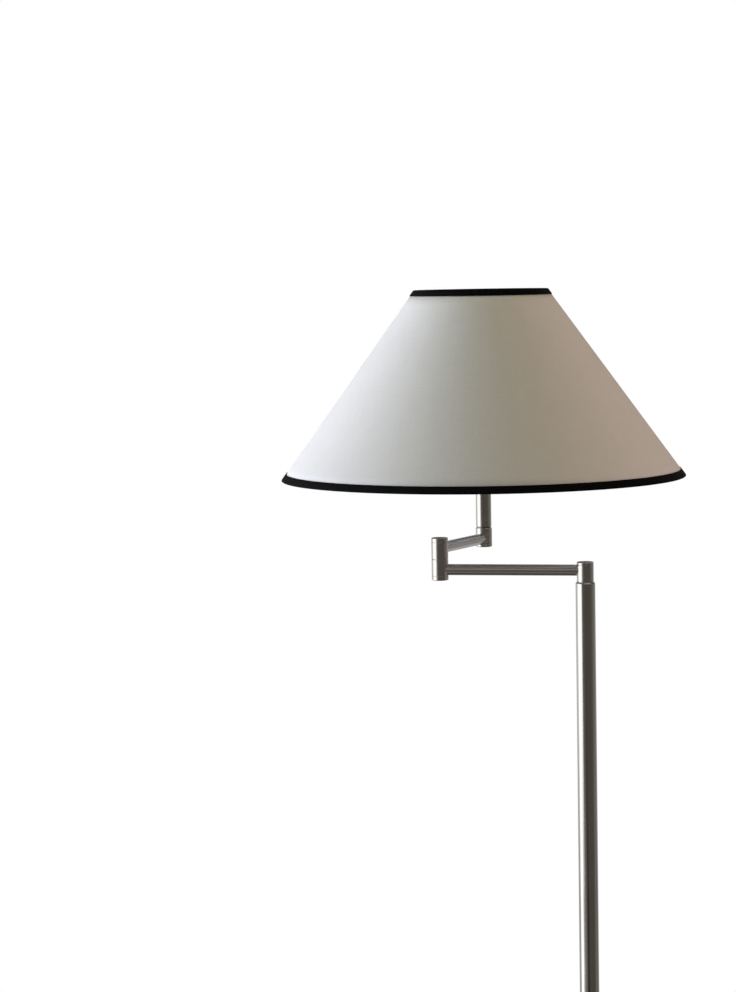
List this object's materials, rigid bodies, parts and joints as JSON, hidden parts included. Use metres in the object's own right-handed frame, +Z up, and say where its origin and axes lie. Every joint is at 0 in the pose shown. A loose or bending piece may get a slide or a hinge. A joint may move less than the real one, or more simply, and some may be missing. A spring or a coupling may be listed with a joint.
{
  "type": "floor lamp",
  "caption": "Bridge floor lamp: a post on a round weighted base, jointed tubular arms hinged in turned knuckles, and a wide cone shade with dark edge tapes.",
  "frame": {"origin": "on the floor, at the middle of the base's underside, on the post's axis", "axes": "+Z up along the post; +Y to the rear, the side where the cord enters the base; +X to the right of someone who faces the lamp"},
  "size_m": [0.4638, 0.4737, 1.4501],
  "materials": {
    "satin_nickel": "satin nickel plate, finely brushed",
    "cast_iron": "as cast, black paint",
    "felt": "felt",
    "black_rubber": "matt",
    "zinc_steel": "zinc plate",
    "spring_steel": "oiled",
    "nylon": "natural",
    "black_phenolic": "moulded, low sheen",
    "porcelain": "glazed",
    "brass": "bright",
    "bulb_metal": "bright rolled thread",
    "opal_glass": "opal, frosted",
    "white_wire": "white lacquer",
    "shade_fabric": "plain weave laminated on white film",
    "black_tape": "bias tape"
  },
  "bodies": {
    "stand": {"base_pad": "felt", "base_weight": "cast_iron", "base_cover": "satin_nickel", "cord_bush": "black_rubber", "foot_collar": "satin_nickel", "foot_stud": "zinc_steel", "foot_washer": "zinc_steel", "foot_nut": "zinc_steel", "post_tube": "satin_nickel", "post_foot_plug": "zinc_steel", "post_head_plug": "satin_nickel", "post_thrust_washer": "nylon", "post_stop_washer": "zinc_steel", "post_disc_spring": "spring_steel", "post_lock_nut": "zinc_steel"},
    "lower_arm": {"post_knuckle": "satin_nickel", "post_knuckle_cap": "satin_nickel", "post_stop_pin": "zinc_steel", "lower_arm_tube": "satin_nickel", "elbow_lower": "satin_nickel", "elbow_lower_cap": "satin_nickel", "elbow_spindle": "zinc_steel", "elbow_spindle_nut": "zinc_steel", "elbow_thrust_washer": "nylon", "elbow_stop_washer": "zinc_steel", "elbow_disc_spring": "spring_steel", "elbow_lock_nut": "zinc_steel"},
    "upper_arm": {"elbow_upper": "satin_nickel", "elbow_upper_cap": "satin_nickel", "elbow_stop_pin": "zinc_steel", "upper_arm_tube": "satin_nickel", "stem_knuckle": "satin_nickel", "stem_knuckle_cap": "satin_nickel", "stem_stop_pin": "zinc_steel"},
    "head": {"stem_foot_plug": "satin_nickel", "stem_thrust_washer": "nylon", "stem_stop_washer": "zinc_steel", "stem_disc_spring": "spring_steel", "stem_lock_nut": "zinc_steel", "stem_tube": "satin_nickel", "stem_head_plug": "satin_nickel", "holder_nipple": "zinc_steel", "holder_cup": "satin_nickel", "switch_block": "black_phenolic", "holder_body": "black_phenolic", "holder_liner": "porcelain", "screw_shell": "brass", "centre_contact": "brass", "shade_nut": "black_phenolic", "bulb_cap": "bulb_metal", "bulb_globe": "opal_glass", "shade_carrier": "white_wire", "bottom_ring": "white_wire", "shade_cover": "shade_fabric", "top_trim": "black_tape", "bottom_trim": "black_tape"},
    "switch": {"switch_spindle": "brass", "switch_knob": "black_phenolic"}
  },
  "joints": [
    {"name": "post_swing", "type": "hinge", "parent": "stand", "child": "lower_arm", "pos_m": [0, 0, 1.15], "axis": [0, 0, 1], "range_deg": [-160, 160]},
    {"name": "elbow_swing", "type": "hinge", "parent": "lower_arm", "child": "upper_arm", "pos_m": [-0.15555, 0.02131, 1.16165], "axis": [0, 0, 1], "range_deg": [-52.2, 267.8]},
    {"name": "head_swivel", "type": "hinge", "parent": "upper_arm", "child": "head", "pos_m": [-0.10888, 0.11871, 1.1853], "axis": [0, 0, 1], "range_deg": [-160, 160]},
    {"name": "switch_turn", "type": "hinge", "parent": "head", "child": "switch", "pos_m": [-0.10888, 0.0972, 1.3083], "axis": [0, -1, 0], "continuous": true}
  ]
}
